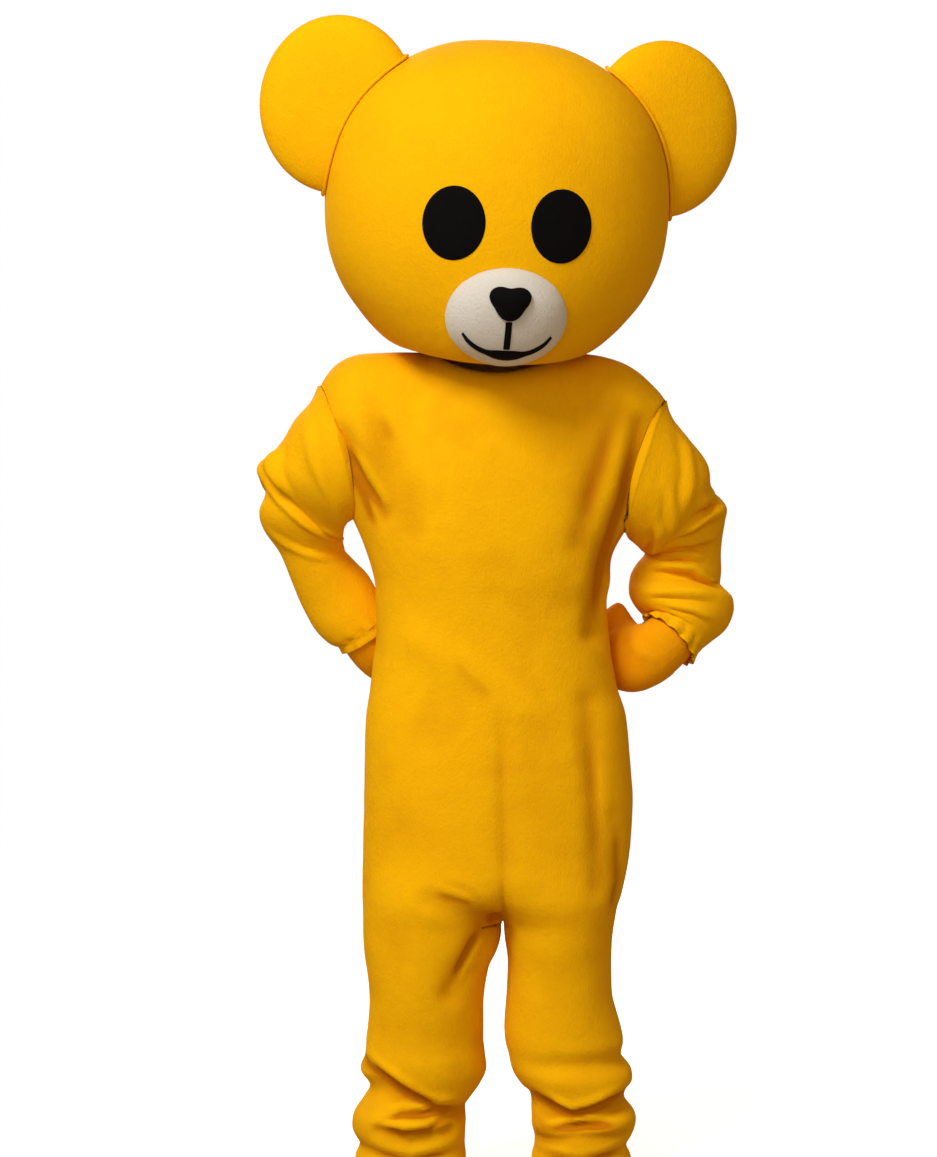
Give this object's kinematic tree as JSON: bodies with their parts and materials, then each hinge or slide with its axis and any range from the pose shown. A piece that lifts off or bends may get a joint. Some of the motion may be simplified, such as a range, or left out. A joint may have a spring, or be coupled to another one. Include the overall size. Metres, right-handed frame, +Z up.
{
  "type": "bear mascot costume",
  "caption": "Worn bear mascot costume: a hollow fleece jumpsuit posed hands on hips, with mitts and a big round-eared head, open at the neck and leg hems.",
  "frame": {"origin": "middle of the neck at shoulder level, where the wearer's shoulders hold the costume", "axes": "+Z up, -Y the way the face looks, +X the wearer's left"},
  "size_m": [0.678, 0.493, 1.6618],
  "materials": {
    "yellow_fleece": "soft short-pile golden yellow fleece",
    "white_plush": "off-white short plush",
    "black_felt": "matte black felt"
  },
  "bodies": {
    "root": {"front_right": "yellow_fleece", "front_left": "yellow_fleece", "back_right": "yellow_fleece", "back_left": "yellow_fleece", "back_placket": "yellow_fleece", "sleeve_right": "yellow_fleece", "sleeve_left": "yellow_fleece", "cuff_right": "yellow_fleece", "cuff_left": "yellow_fleece", "mitt_right": "yellow_fleece", "mitt_left": "yellow_fleece", "head_front_right": "yellow_fleece", "head_front_left": "yellow_fleece", "head_back_right": "yellow_fleece", "head_back_left": "yellow_fleece", "ear_right": "yellow_fleece", "ear_left": "yellow_fleece", "ear_welt_right": "yellow_fleece", "ear_welt_left": "yellow_fleece", "muzzle": "white_plush", "nose": "black_felt", "mouth_bar": "black_felt", "mouth_smile": "black_felt", "eye_right": "black_felt", "eye_left": "black_felt"}
  },
  "joints": []
}
